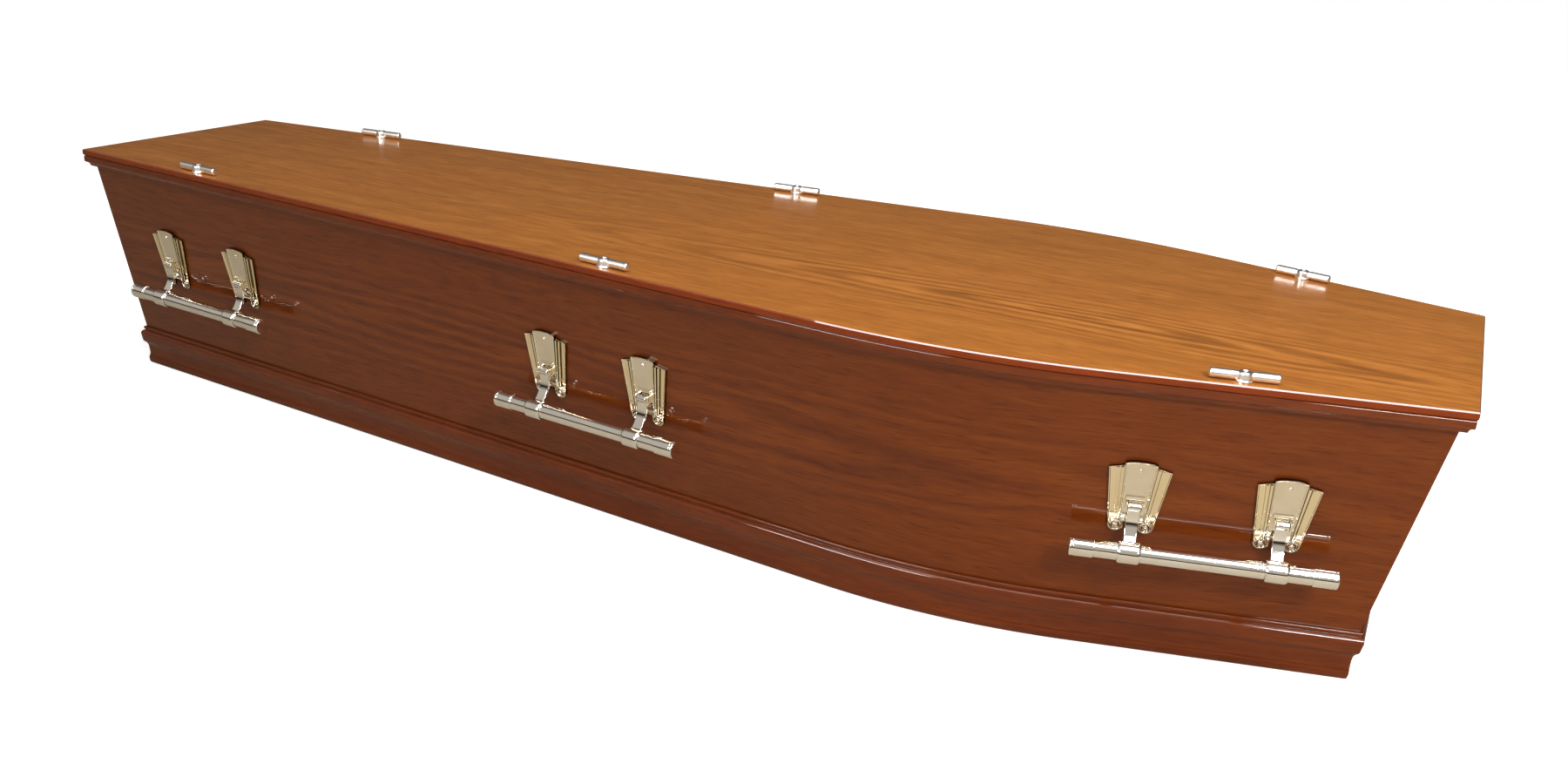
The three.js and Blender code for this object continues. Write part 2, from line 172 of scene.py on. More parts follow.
def side_run(side_name, points, raked):
    """A section carried along one side, round the shoulder, and mitred at both ends."""
    plan = PLANS[side_name]
    bm = bmesh.new()
    rake = SIDE_RAKE if raked else None
    start = plan.foot - plan.along_foot * SPARE_LENGTH
    face = section_face(bm, start, plan.out_foot, points, rake)
    face = extruded(bm, face, plan.arc_start - start)
    last = swept_round(bm, [face], plan.centre, UP, plan.turn, SHOULDER_STEPS)
    face = next(item for item in last if isinstance(item, bmesh.types.BMFace))
    extruded(bm, face, plan.head - plan.arc_end + plan.along_head * SPARE_LENGTH)
    for end_name in ENDS:
        at, facing = mitre(side_name, end_name, raked)
        cut_off(bm, at - facing * MITRE_GAP, facing)
    return bm


def shown(bm, name, materials, sharp_degrees=35):
    """Makes the finished object of a shape: closed, facing outwards, smooth between sharp edges."""
    bmesh.ops.remove_doubles(bm, verts=bm.verts[:], dist=MERGE_WITHIN)
    bmesh.ops.recalc_face_normals(bm, faces=bm.faces[:])
    mesh = bpy.data.meshes.new(name)
    bm.to_mesh(mesh)
    bm.free()
    mesh.shade_smooth()
    mesh.set_sharp_from_angle(angle=math.radians(sharp_degrees))
    for material in materials:
        mesh.materials.append(material)
    piece = bpy.data.objects.new(name, mesh)
    bpy.context.scene.collection.objects.link(piece)
    even = piece.modifiers.new("Even shading", "WEIGHTED_NORMAL")
    even.keep_sharp = True
    return piece


def node(tree, kind, inputs=(), **settings):
    """Adds a shader node; an input is given a value or another node's output."""
    made = tree.nodes.new(kind)
    for name, value in settings.items():
        setattr(made, name, value)
    for name, value in dict(inputs).items():
        if isinstance(value, bpy.types.NodeSocket):
            tree.links.new(value, made.inputs[name])
        else:
            made.inputs[name].default_value = value
    return made


def maths(tree, operation, first, second=0.0, third=0.0, clamp=False):
    """One step of arithmetic on shader values."""
    made = node(
        tree, "ShaderNodeMath", {0: first, 1: second, 2: third}, operation=operation, use_clamp=clamp)
    return made.outputs[0]


def blended(tree, factor, first, second):
    """A colour between two others."""
    made = node(tree, "ShaderNodeMix", {0: factor, 6: first, 7: second}, data_type="RGBA")
    return made.outputs[2]


def spread(tree, value, low, high, to_low=0.0, to_high=1.0):
    """A value brought from one range onto another, and held inside it."""
    return node(tree, "ShaderNodeMapRange", {
        "Value": value, "From Min": low, "From Max": high, "To Min": to_low, "To Max": to_high,
    }).outputs[0]


def stretched_noise(tree, vector, scales, detail, roughness):
    """Noise drawn out along the grain: scales are its cells per metre along and across."""
    drawn = node(tree, "ShaderNodeMapping", {"Vector": vector, "Scale": (*scales, 1.0)})
    return node(tree, "ShaderNodeTexNoise", {
        "Vector": drawn.outputs[0], "Scale": 1.0, "Detail": detail, "Roughness": roughness,
    }).outputs["Fac"]


def new_group(name, inputs, outputs):
    """An empty shader group with its sockets, and the nodes that stand for them."""
    tree = bpy.data.node_groups.new(name, "ShaderNodeTree")
    for way, sockets in (("INPUT", inputs), ("OUTPUT", outputs)):
        for label, kind in sockets.items():
            tree.interface.new_socket(label, in_out=way, socket_type=kind)
    return tree, tree.nodes.new("NodeGroupInput").outputs, tree.nodes.new("NodeGroupOutput").inputs


NUMBER, COLOUR, VECTOR = "NodeSocketFloat", "NodeSocketColor", "NodeSocketVector"

DRIFT_CELLS = (1.7, 7.0)
DRIFT_REACH = 0.055
WAVER_CELLS = (11.0, 34.0)
WAVER_REACH = 0.008
BAND_CELLS = (3.8, 36.0)
STREAK_CELLS = (19.0, 175.0)
PORE_CELLS = (24.0, 430.0)
RINGS_PER_METRE = 19.0


def make_wood_grain():
    """Grain of a cut face: broad bands, fine streaks, growth rings where the log is cut, pores."""
    tree, given, result = new_group("Wood grain", {
        "Grain": VECTOR, "Log": VECTOR, "Dark": COLOUR, "Middle": COLOUR, "Light": COLOUR,
        "Bands": NUMBER, "Streaks": NUMBER, "Rings": NUMBER, "Pores": NUMBER,
    }, {"Colour": COLOUR, "Roughness": NUMBER, "Height": NUMBER})
    drift = stretched_noise(tree, given["Grain"], DRIFT_CELLS, 2.0, 0.5)
    drift = maths(tree, "MULTIPLY", maths(tree, "SUBTRACT", drift, 0.5), DRIFT_REACH)
    waver = stretched_noise(tree, given["Grain"], WAVER_CELLS, 2.0, 0.5)
    drift = maths(tree, "MULTIPLY_ADD", waver, WAVER_REACH, drift)
    sideways = node(tree, "ShaderNodeCombineXYZ", {"Y": drift}).outputs[0]
    grain = node(tree, "ShaderNodeVectorMath", {0: given["Grain"], 1: sideways}).outputs[0]
    log = node(tree, "ShaderNodeVectorMath", {0: given["Log"], 1: sideways}).outputs[0]
    bands = maths(tree, "SUBTRACT", stretched_noise(tree, grain, BAND_CELLS, 5.0, 0.70), 0.5)
    streaks = maths(tree, "SUBTRACT", stretched_noise(tree, grain, STREAK_CELLS, 4.0, 0.72), 0.5)
    pores = spread(tree, stretched_noise(tree, grain, PORE_CELLS, 2.0, 0.5), 0.56, 0.70)
    rings = node(tree, "ShaderNodeTexWave", {
        "Vector": log, "Scale": RINGS_PER_METRE, "Distortion": 4.5, "Detail": 3.0, "Detail Scale": 1.4,
        "Detail Roughness": 0.6,
    }, wave_type="RINGS", rings_direction="X", wave_profile="SIN").outputs["Fac"]
    depth = node(tree, "ShaderNodeVectorMath", {0: log}, operation="LENGTH").outputs["Value"]
    ring_mask = spread(tree, depth, 0.015, 0.10, 1.0, 0.0)
    rings = maths(tree, "MULTIPLY", maths(tree, "SUBTRACT", rings, 0.5), ring_mask)
    tone = maths(tree, "ADD", maths(tree, "MULTIPLY", bands, given["Bands"]), 0.5)
    tone = maths(tree, "ADD", tone, maths(tree, "MULTIPLY", streaks, given["Streaks"]))
    tone = maths(tree, "ADD", tone, maths(tree, "MULTIPLY", rings, given["Rings"]), clamp=True)
    colour = blended(tree, spread(tree, tone, 0.0, 0.5), given["Dark"], given["Middle"])
    colour = blended(tree, spread(tree, tone, 0.5, 1.0), colour, given["Light"])
    colour = blended(tree, maths(tree, "MULTIPLY", pores, given["Pores"]), colour, given["Dark"])
    tree.links.new(colour, result["Colour"])
    tree.links.new(spread(tree, tone, 0.0, 1.0, 0.50, 0.36), result["Roughness"])
    tree.links.new(maths(tree, "SUBTRACT", streaks, pores), result["Height"])
    return tree


wood_grain = make_wood_grain()


def grain_turn(along, across):
    """The turn that brings the grain onto the pattern's own X and its breadth onto Y."""
    return Matrix((along, across, Vector(along).cross(Vector(across)))).to_euler()


def wood(name, tones, along, across, strengths, log_at, log_tilt, coat, spot=(0, 0, 0),
         coat_ior=1.40, coat_blur=0.03):
    """Lacquered or bare wood: its three tones, how its grain lies, and where its heart rings show."""
    dark, middle, light = tones
    material = bpy.data.materials.new(name)
    material.use_nodes = True
    tree = material.node_tree
    shader = tree.nodes["Principled BSDF"]
    place = node(tree, "ShaderNodeTexCoord").outputs["Object"]
    grain = node(tree, "ShaderNodeMapping", {
        "Vector": place, "Rotation": grain_turn(along, across), "Location": spot})
    flat = node(tree, "ShaderNodeMapping", {"Vector": grain.outputs[0], "Scale": (1, 1, 0)}).outputs[0]
    log = node(tree, "ShaderNodeMapping", {
        "Vector": flat, "Location": (0, -log_at[1], log_tilt * log_at[0]),
        "Rotation": (0, log_tilt, 0), "Scale": (1, 1, 0)})
    cross = node(tree, "ShaderNodeMapping", {"Vector": log.outputs[0], "Scale": (0, 1, 1)}).outputs[0]
    bands, streaks, rings, pores = strengths
    figured = node(tree, "ShaderNodeGroup", node_tree=wood_grain)
    tree.links.new(flat, figured.inputs["Grain"])
    tree.links.new(cross, figured.inputs["Log"])
    for label, value in (("Dark", (*dark, 1)), ("Middle", (*middle, 1)), ("Light", (*light, 1)),
                         ("Bands", bands), ("Streaks", streaks), ("Rings", rings), ("Pores", pores)):
        figured.inputs[label].default_value = value
    bump = node(tree, "ShaderNodeBump", {
        "Height": figured.outputs["Height"], "Strength": 0.12, "Distance": 0.0003})
    tree.links.new(figured.outputs["Colour"], shader.inputs["Base Color"])
    tree.links.new(figured.outputs["Roughness"], shader.inputs["Roughness"])
    tree.links.new(bump.outputs[0], shader.inputs["Normal"])
    shader.inputs["Specular IOR Level"].default_value = 0.04
    shader.inputs["Coat Weight"].default_value = coat
    shader.inputs["Coat Roughness"].default_value = coat_blur
    shader.inputs["Coat IOR"].default_value = coat_ior
    return material


X_AXIS = (1, 0, 0)
Y_AXIS = (0, 1, 0)
Z_AXIS = (0, 0, 1)
VENEER_TONES = ((0.055, 0.008, 0.0005), (0.118, 0.022, 0.0013), (0.180, 0.042, 0.0036))
VENEER_GRAIN = (0.60, 0.75, 0.35, 0.60)
VENEER_COAT_IOR = 1.36
side_veneer = wood(
    "Side veneer", VENEER_TONES, X_AXIS, Z_AXIS, VENEER_GRAIN,
    log_at=(-0.25, 0.20), log_tilt=0.045, coat=1.0, coat_ior=VENEER_COAT_IOR)

wall_corners = [(-WALL, 0), (0, 0), (0, BODY_TOP - BOARD_GAP), (-WALL, BODY_TOP - BOARD_GAP)]
for side_name in SIDES:
    board = shown(side_run(side_name, wall_corners, True), f"side_wall_{side_name}", [side_veneer])
    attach(board, "coffin")
    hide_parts(f"side_board_{side_name}")


# End walls. Two boards of the same veneered panel between the sides, mitred and glued to them.
# They lean in as the sides do, the head more than the foot, and the grain runs across.

def end_run(end_name, points, raked):
    """A section carried across one end and mitred to both sides."""
    end = ENDS[end_name]
    reach = SHOULDER_WIDTH / 2
    bm = bmesh.new()
    rake = END_RAKES[end_name] if raked else None
    face = section_face(bm, Vector((end * LENGTH / 2, -reach, 0)), Vector((end, 0, 0)), points, rake)
    extruded(bm, face, Vector((0, 2 * reach, 0)))
    for side_name in SIDES:
        at, facing = mitre(side_name, end_name, raked)
        cut_off(bm, at + facing * MITRE_GAP, -facing)
    return bm


end_veneer = wood(
    "End veneer", VENEER_TONES, Y_AXIS, Z_AXIS, VENEER_GRAIN,
    log_at=(0.05, 0.22), log_tilt=0.09, coat=1.0, spot=(3.1, 0.4, 0), coat_ior=VENEER_COAT_IOR)

for end_name in ENDS:
    board = shown(end_run(end_name, wall_corners, True), f"end_wall_{end_name}", [end_veneer])
    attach(board, "coffin")
    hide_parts(f"{end_name}_board")


# Base board. A plain unfinished panel let in between the walls and fixed from outside, seen only
# when the coffin is turned over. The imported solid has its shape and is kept.

BARE_TONES = ((0.30, 0.17, 0.075), (0.45, 0.29, 0.14), (0.56, 0.39, 0.21))
bare_board = wood(
    "Bare board", BARE_TONES, X_AXIS, Y_AXIS, (0.8, 0.6, 0.3, 0.3),
    log_at=(0.1, 0.02), log_tilt=0.05, coat=0.0)
base = frame["nodes"]["base_board"]
base.data.materials.clear()
base.data.materials.append(bare_board)


# Plinth. A machined moulding glued round the foot of the walls and mitred at the four corners: a
# rounded toe, a long hollow, a full nose, and a small bead that dies into the wall.

PLINTH_HEIGHT = 0.064
PLINTH_TOE = 0.0085
PLINTH_HOLLOW = 0.0046
PLINTH_NOSE = 0.0092
PLINTH_QUIRK = 0.0030
PLINTH_BEAD = 0.0040
plinth_corners = [
    (BOARD_GAP, 0),
    (PLINTH_TOE, 0, 0.0030),
    (PLINTH_TOE, 0.0100, 0.0030),
    (PLINTH_HOLLOW + 0.0008, 0.0160, 0.0050),
    (PLINTH_HOLLOW, 0.0340, 0.0040),
    (PLINTH_NOSE, 0.0385, 0.0025),
    (PLINTH_NOSE, 0.0565, 0.0050, 10),
    (PLINTH_QUIRK, 0.0580, 0.0006, 3),
    (PLINTH_QUIRK, 0.0593, 0.0006, 3),
    (PLINTH_BEAD, 0.0597, 0.0010, 6),
    (PLINTH_BEAD, PLINTH_HEIGHT, 0.0018, 8),
    (BOARD_GAP, PLINTH_HEIGHT),
]
MOULDING_TONES = ((0.050, 0.006, 0.0006), (0.110, 0.018, 0.0012), (0.180, 0.036, 0.0026))
STRAIGHT_GRAIN = (0.8, 0.7, 0.0, 0.3)
side_moulding = wood(
    "Side moulding", MOULDING_TONES, X_AXIS, Z_AXIS, STRAIGHT_GRAIN,
    log_at=(0, 0), log_tilt=0.05, coat=1.0, spot=(5, 0, 0))
end_moulding = wood(
    "End moulding", MOULDING_TONES, Y_AXIS, Z_AXIS, STRAIGHT_GRAIN,
    log_at=(0, 0), log_tilt=0.05, coat=1.0, spot=(9, 0, 0))


def moulding_set(points, raked, piece_name, node_name):
    """The same moulding along both sides and both ends."""
    for run_name in (*SIDES, *ENDS):
        if run_name in SIDES:
            strip = shown(side_run(run_name, points, raked), f"{piece_name}_{run_name}", [side_moulding])
        else:
            strip = shown(end_run(run_name, points, raked), f"{piece_name}_{run_name}", [end_moulding])
        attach(strip, "coffin")
        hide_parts(f"{node_name}_{run_name}")


moulding_set(plinth_corners, True, "plinth_strip", "plinth")


# Lid frame. A moulded rim under the lid board, glued to it and mitred at the corners. Its face has
# a softened upper edge and turns in below to a small hollow, so that the lid hides the wall's top.

LID_BOARD = 0.009
FRAME_WIDTH = 0.036
FRAME_SETBACK = 0.0008
FRAME_TOP = HEIGHT - LID_BOARD - BOARD_GAP
frame_corners = [
    (-FRAME_WIDTH, BODY_TOP),
    (-FRAME_SETBACK - 0.0060, BODY_TOP, 0.0006, 3),
    (-FRAME_SETBACK - 0.0052, BODY_TOP + 0.0046, 0.0030, 6),
    (-FRAME_SETBACK, BODY_TOP + 0.0062, 0.0012, 4),
    (-FRAME_SETBACK, FRAME_TOP, 0.0022, 8),
    (-FRAME_WIDTH, FRAME_TOP),
]
moulding_set(frame_corners, False, "lid_frame", "lid_moulding")


# Lid board. One veneered panel cut to the plan of the coffin, its edge lipped in darker wood and
# its corners softened by hand, under several coats of gloss lacquer.

LID_ARRIS = 0.0014


def lid_panel():
    """The plan drawn as one line along each side, closed to a face, thickened and softened.

    Its flat faces take the first material, its edge the second and the softened arris the third."""
    bm = bmesh.new()
    ends = []
    for plan in PLANS.values():
        first = bm.verts.new(plan.foot + UP * (HEIGHT - LID_BOARD))
        tip = first
        for move, turn in ((plan.arc_start - plan.foot, plan.turn), (plan.head - plan.arc_end, 0)):
            grown = bmesh.ops.extrude_vert_indiv(bm, verts=[tip])["verts"]
            bmesh.ops.translate(bm, verts=grown, vec=move)
            tip = grown[0]
            if turn:
                last = swept_round(bm, [tip], plan.centre, UP, turn, SHOULDER_STEPS)
                tip = next(item for item in last if isinstance(item, bmesh.types.BMVert))
        ends.append((first, tip))
    for near_end, far_end in zip(*ends):
        bm.edges.new((near_end, far_end))
    face = bmesh.ops.contextual_create(bm, geom=bm.edges[:])["faces"][0]
    top = extruded(bm, face, UP * LID_BOARD)
    level = [edge for edge in bm.edges if abs(edge.verts[0].co.z - edge.verts[1].co.z) < MERGE_WITHIN]
    soften_edges(bm, level, LID_ARRIS, 1)
    bmesh.ops.recalc_face_normals(bm, faces=bm.faces[:])
    for lid_face in bm.faces:
        flatness = abs(lid_face.normal.z)
        if flatness > 0.97:
            lid_face.material_index = 0
        elif flatness < 0.3:
            lid_face.material_index = 1
        else:
            lid_face.material_index = 2
    return bm


LID_TONES = ((0.188, 0.060, 0.0085), (0.380, 0.128, 0.018), (0.575, 0.212, 0.038))
LIPPING_TONES = ((0.075, 0.008, 0.0008), (0.165, 0.024, 0.0018), (0.250, 0.044, 0.0036))
ARRIS_HIGHLIGHT_TONES = ((0.090, 0.010, 0.0010), (0.190, 0.028, 0.0020), (0.280, 0.050, 0.0040))
lid_veneer = wood(
    "Lid veneer", LID_TONES, X_AXIS, Y_AXIS, (1.00, 1.00, 0.62, 0.65),
    log_at=(0.56, -0.12), log_tilt=0.10, coat=0.85, coat_blur=0.17)
lid_lipping = wood(
    "Lid lipping", LIPPING_TONES, X_AXIS, Z_AXIS, STRAIGHT_GRAIN,
    log_at=(0, 0), log_tilt=0.05, coat=1.0, spot=(7, 0, 0), coat_ior=1.30)
# Painted highlight on the arris: tones a little lighter than the lipping and a coat far more reflective
# than the lacquer elsewhere, so that the edge light shows there as a bright line.
lid_arris = wood(
    "Lid arris painted highlight", ARRIS_HIGHLIGHT_TONES, X_AXIS, Z_AXIS, (0.5, 0.5, 0.0, 0.2),
    log_at=(0, 0), log_tilt=0.05, coat=1.0, spot=(7, 0, 0), coat_ior=2.0)
lid = shown(lid_panel(), "lid_panel", [lid_veneer, lid_lipping, lid_arris])
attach(lid, "coffin")
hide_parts("lid_board")


# Lid thumbscrews. Plated castings: a round bar with blunt rounded ends across a domed hub, which
# stands on a flat collar. Each screws down through the rim of the lid into the top of the wall.

SCREWS_FROM_FOOT = {"foot": 0.247, "middle": 0.990, "head": 1.757}
SCREW_INSET = 0.017
SCREW_BAR_HALF = 0.0365
SCREW_BAR_RADIUS = 0.0052
SCREW_BAR_HEIGHT = 0.0062
SCREW_GRIP_HALF = 0.0100
SCREW_NECK_HALF = 0.0090
HUB_RADIUS = 0.0098
ROUND_STEPS = 40
TURNED_ROUNDING_STEPS = 5
CASTING_SHARP_DEGREES = 32


def chain(bm, points, axis_turn):
    """A line of corners (along, radius, rounding), later spun about X; rounded where asked."""
    line = [bm.verts.new(axis_turn @ Vector((along, 0, radius))) for along, radius, *_ in points]
    for first, second in zip(line, line[1:]):
        bm.edges.new((first, second))
    for corner, (_, _, *rounding) in zip(line, points):
        if rounding:
            round_corners(bm, [corner], rounding[0], TURNED_ROUNDING_STEPS)


def turned(points, axis_turn=Matrix.Identity(3), move=(0, 0, 0), steps=ROUND_STEPS):
    """A turned shape: its half outline spun once round its axis."""
    bm = bmesh.new()
    chain(bm, points, axis_turn)
    outline = bm.verts[:] + bm.edges[:]
    swept_round(bm, outline, (0, 0, 0), axis_turn @ Vector(X_AXIS), 2 * math.pi, steps, closed=True)
    bmesh.ops.remove_doubles(bm, verts=bm.verts[:], dist=MERGE_WITHIN)
    bmesh.ops.translate(bm, verts=bm.verts[:], vec=move)
    return bm


def gathered(shapes):
    """Puts several closed shapes into one."""
    whole = bmesh.new()
    for shape in shapes:
        bmesh.ops.recalc_face_normals(shape, faces=shape.faces[:])
        carried = bpy.data.meshes.new("carried")
        shape.to_mesh(carried)
        shape.free()
        whole.from_mesh(carried)
        bpy.data.meshes.remove(carried)
    return whole


def placed(shape, matrix, name, materials):
    """A copy of a shape, put in its place."""
    bm = shape.copy()
    bmesh.ops.transform(bm, matrix=matrix, verts=bm.verts[:])
    return shown(bm, name, materials, CASTING_SHARP_DEGREES)


def make_plating():
    """Bright plating: faint clouding of tone, hand marks that soften the shine, a cast surface."""
    tree, given, result = new_group("Plating", {
        "Place": VECTOR, "Bright": COLOUR, "Clouded": COLOUR, "Clouding": NUMBER, "Dulling": NUMBER,
    }, {"Colour": COLOUR, "Roughness": NUMBER, "Height": NUMBER})
    cloud = node(tree, "ShaderNodeTexNoise", {
        "Vector": given["Place"], "Scale": 38.0, "Detail": 4.0, "Roughness": 0.6}).outputs["Fac"]
    marks = node(tree, "ShaderNodeTexNoise", {
        "Vector": given["Place"], "Scale": 210.0, "Detail": 3.0, "Roughness": 0.7}).outputs["Fac"]
    cast = node(tree, "ShaderNodeTexNoise", {
        "Vector": given["Place"], "Scale": 95.0, "Detail": 1.0, "Roughness": 0.5}).outputs["Fac"]
    clouded = maths(tree, "MULTIPLY", spread(tree, cloud, 0.42, 0.75), given["Clouding"])
    tree.links.new(blended(tree, clouded, given["Bright"], given["Clouded"]), result["Colour"])
    cloud_blur = spread(tree, cloud, 0.3, 0.8, 0.03, 0.09)
    mark_blur = spread(tree, marks, 0.5, 0.8, 0, 0.05)
    shine = maths(tree, "ADD", cloud_blur, mark_blur)
    tree.links.new(maths(tree, "ADD", shine, given["Dulling"]), result["Roughness"])
    tree.links.new(cast, result["Height"])
    return tree


plating = make_plating()


def plated(name, bright, clouded, clouding, dulling=0.0):
    """A plated finish: its two tones, how far they cloud, and how much duller it is than new."""
    material = bpy.data.materials.new(name)
    material.use_nodes = True
    tree = material.node_tree
    shader = tree.nodes["Principled BSDF"]
    place = node(tree, "ShaderNodeTexCoord").outputs["Object"]
    metal = node(tree, "ShaderNodeGroup", node_tree=plating)
    tree.links.new(place, metal.inputs["Place"])
    metal.inputs["Bright"].default_value = (*bright, 1)
    metal.inputs["Clouded"].default_value = (*clouded, 1)
    metal.inputs["Clouding"].default_value = clouding
    metal.inputs["Dulling"].default_value = dulling
    bump = node(tree, "ShaderNodeBump", {
        "Height": metal.outputs["Height"], "Strength": 0.10, "Distance": 0.0006})
    tree.links.new(metal.outputs["Colour"], shader.inputs["Base Color"])
    tree.links.new(metal.outputs["Roughness"], shader.inputs["Roughness"])
    tree.links.new(bump.outputs[0], shader.inputs["Normal"])
    shader.inputs["Metallic"].default_value = 1.0
    return material


white_plate = plated("White plating", (0.93, 0.92, 0.90), (0.74, 0.70, 0.64), 0.35)
satin_plate = plated("Satin plating", (0.95, 0.94, 0.92), (0.80, 0.77, 0.72), 0.30, 0.24)
# Painted reflection: the plating is silver, and these warm and golden tones stand for the warm surroundings
# it mirrors, stronger on the wings and ribs than on the panel.
plate_with_warm_reflection = plated("Plating, painted warm reflection", (0.92, 0.86, 0.74), (0.76, 0.65, 0.47), 0.45)
plate_with_golden_reflection = plated("Plating, painted golden reflection", (0.99, 0.88, 0.64), (0.86, 0.70, 0.42), 0.40)

STAND_UP = Matrix.Rotation(-math.pi / 2, 3, "Y")
screw_bar = turned([
    (-SCREW_BAR_HALF, 0), (-SCREW_BAR_HALF, SCREW_BAR_RADIUS, 0.0022),
    (-SCREW_GRIP_HALF, SCREW_BAR_RADIUS), (-SCREW_NECK_HALF, SCREW_BAR_RADIUS * 0.9),
    (SCREW_NECK_HALF, SCREW_BAR_RADIUS * 0.9), (SCREW_GRIP_HALF, SCREW_BAR_RADIUS),
    (SCREW_BAR_HALF, SCREW_BAR_RADIUS, 0.0022), (SCREW_BAR_HALF, 0),
], move=(0, 0, SCREW_BAR_HEIGHT))
screw_hub = turned([
    (BOARD_GAP, 0), (BOARD_GAP, HUB_RADIUS), (0.0018, HUB_RADIUS, 0.0006), (0.0026, 0.0086, 0.0005),
    (0.0090, 0.0082, 0.0010), (0.0112, 0.0068, 0.0012), (0.0112, 0.0044, 0.0004),
    (0.0102, 0.0038, 0.0003), (0.0102, 0.0024, 0.0003), (0.0111, 0.0020, 0.0005), (0.0112, 0),
], axis_turn=STAND_UP)
screw_shape = gathered([screw_bar, screw_hub])


def rim_matrix(side_name, from_foot):
    """A place on the lid's rim, with X along the edge on the near side and Z up."""
    plan = PLANS[side_name]
    on_foot = from_foot < SHOULDER_FROM_FOOT
    start, along = (plan.foot, plan.along_foot) if on_foot else (plan.shoulder, plan.along_head)
    outward = plan.out_foot if on_foot else plan.out_head
    travel = (from_foot - LENGTH / 2 - start.x) / along.x
    spot = start + along * travel - outward * SCREW_INSET + UP * HEIGHT
    across = UP.cross(along)
    return Matrix.Translation(spot) @ Matrix((along, across, UP)).transposed().to_4x4()


for side_name in SIDES:
    for where, from_foot in SCREWS_FROM_FOOT.items():
        screw = placed(
            screw_shape, rim_matrix(side_name, from_foot), f"thumbscrew_{side_name}_{where}", [satin_plate])
        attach(screw, "coffin")
        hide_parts(f"lid_screw_{side_name}_{where}")


# Handle back plates. Fan-shaped plated castings screwed to the wall: two wings with raised rims,
# two ribs on each side of a raised panel with an arched top, a round boss in each lower corner.
# A plate is drawn flat, X along the wall, Y up its slope and Z out from it.

# Painted shade: a dark plating put on every flank of the plate's parts, for the shadowed outlines between
# and round them.
flank_shade_plate = plated("Painted flank shade", (0.16, 0.115, 0.07), (0.07, 0.045, 0.025), 0.6)
# The plates' warm and golden finishes are painted reflection; the dark flank finish is painted shade.
PLATE_FINISHES = [plate_with_warm_reflection, flank_shade_plate, plate_with_golden_reflection]
WARM_REFLECTION_TINT, PAINTED_FLANK_SHADE, GOLDEN_REFLECTION_TINT = range(3)
PLATE_GAP = 0.0003
JUST_OFF_BACK = 0.0004
CRISP_ANGLE = 0.5
RIB_BOTTOM = 0.0136
RIB_FOOT_WIDTH = 0.0017
RIB_TOP_WIDTH = 0.0027
PIN_UP = 0.0800
BOSS_FROM_MIDDLE = 0.0165
BOSS_UP = 0.0066
LUG_FROM_MIDDLE = 0.0089
LUG_HALF = 0.0014
LUG_BOTTOM = 0.0310
LUG_TOP = 0.0410
BLOCK_HALF = 0.0104
BLOCK_BOTTOM = 0.0436
BLOCK_TOP = 0.0466
PIVOT_OUT = 0.0104
PIVOT_UP = 0.036
ARM_SPACING = 0.158
WALL_LEAN = math.atan(SIDE_RAKE / HEIGHT)


def plate_slab(corners, thickness, rim, sunk, rounding):
    """A flat casting, with or without a rim round a sunk field; all but its back edges are softened."""
    bm = bmesh.new()
    face = bm.faces.new([bm.verts.new((x, y, PLATE_GAP)) for x, y in corners])
    top = extruded(bm, face, Vector((0, 0, thickness)))
    if rim:
        bmesh.ops.inset_region(bm, faces=[top], thickness=rim, use_even_offset=True)
        bmesh.ops.inset_region(bm, faces=[top], thickness=sunk / 2, depth=-sunk, use_even_offset=True)
    bmesh.ops.recalc_face_normals(bm, faces=bm.faces[:])
    crisp = []
    for edge in bm.edges:
        highest = max(corner.co.z for corner in edge.verts)
        if edge.calc_face_angle(0) > CRISP_ANGLE and highest > JUST_OFF_BACK:
            crisp.append(edge)
    soften_edges(bm, crisp, rounding, 2)
    return bm


def with_painted_flank_shade(casting, finish=WARM_REFLECTION_TINT):
    """Gives a casting its finish, and a dark painted shade on its flanks, standing for the shadowed
    outlines of its parts.
    """
    casting.normal_update()
    for face in casting.faces:
        face.material_index = PAINTED_FLANK_SHADE if abs(face.normal.z) < 0.35 else finish
    return casting


def mirrored(corners):
    """The same outline on the plate's other half."""
    return [(-x, y) for x, y in reversed(corners)]


wing = [
    (0.0080, 0.0030), (0.0165, 0.0010), (0.0250, 0.0060),
    (0.0340, 0.0800), (0.0172, 0.0840), (0.0080, 0.0840),
]
wing_parts = []
for outline in (wing, mirrored(wing)):
    slab = plate_slab(outline, thickness=0.0032, rim=0.0010, sunk=0.0011, rounding=0.00045)
    wing_parts.append(with_painted_flank_shade(slab, GOLDEN_REFLECTION_TINT))
rib_parts = []
for order, thickness in ((0, 0.0052), (1, 0.0046)):
    foot_x = 0.0144 + 0.0030 * order
    top_x = 0.0184 + 0.0044 * order
    rib = [
        (foot_x, RIB_BOTTOM), (foot_x + RIB_FOOT_WIDTH, RIB_BOTTOM),
        (top_x + RIB_TOP_WIDTH, 0.0818 - 0.001 * order), (top_x, 0.0824 - 0.001 * order),
    ]
    for outline in (rib, mirrored(rib)):
        rib_parts.append(with_painted_flank_shade(plate_slab(outline, thickness, rim=0, sunk=0, rounding=0.0005), GOLDEN_REFLECTION_TINT))
panel = [
    (-0.0138, 0.0130), (0.0138, 0.0130), (0.0175, 0.0880), (0.0120, 0.0896), (0.0060, 0.0904),
    (0.0000, 0.0906), (-0.0060, 0.0904), (-0.0120, 0.0896), (-0.0175, 0.0880),
]
panel_part = with_painted_flank_shade(plate_slab(panel, thickness=0.0056, rim=0.0011, sunk=0.0013, rounding=0.00050))
pin_part = turned(
    [(0, 0), (0, 0.0020), (0.0058, 0.0020, 0.0006), (0.0062, 0)],
    axis_turn=STAND_UP, move=(0, PIN_UP, 0), steps=20)
boss_parts = []
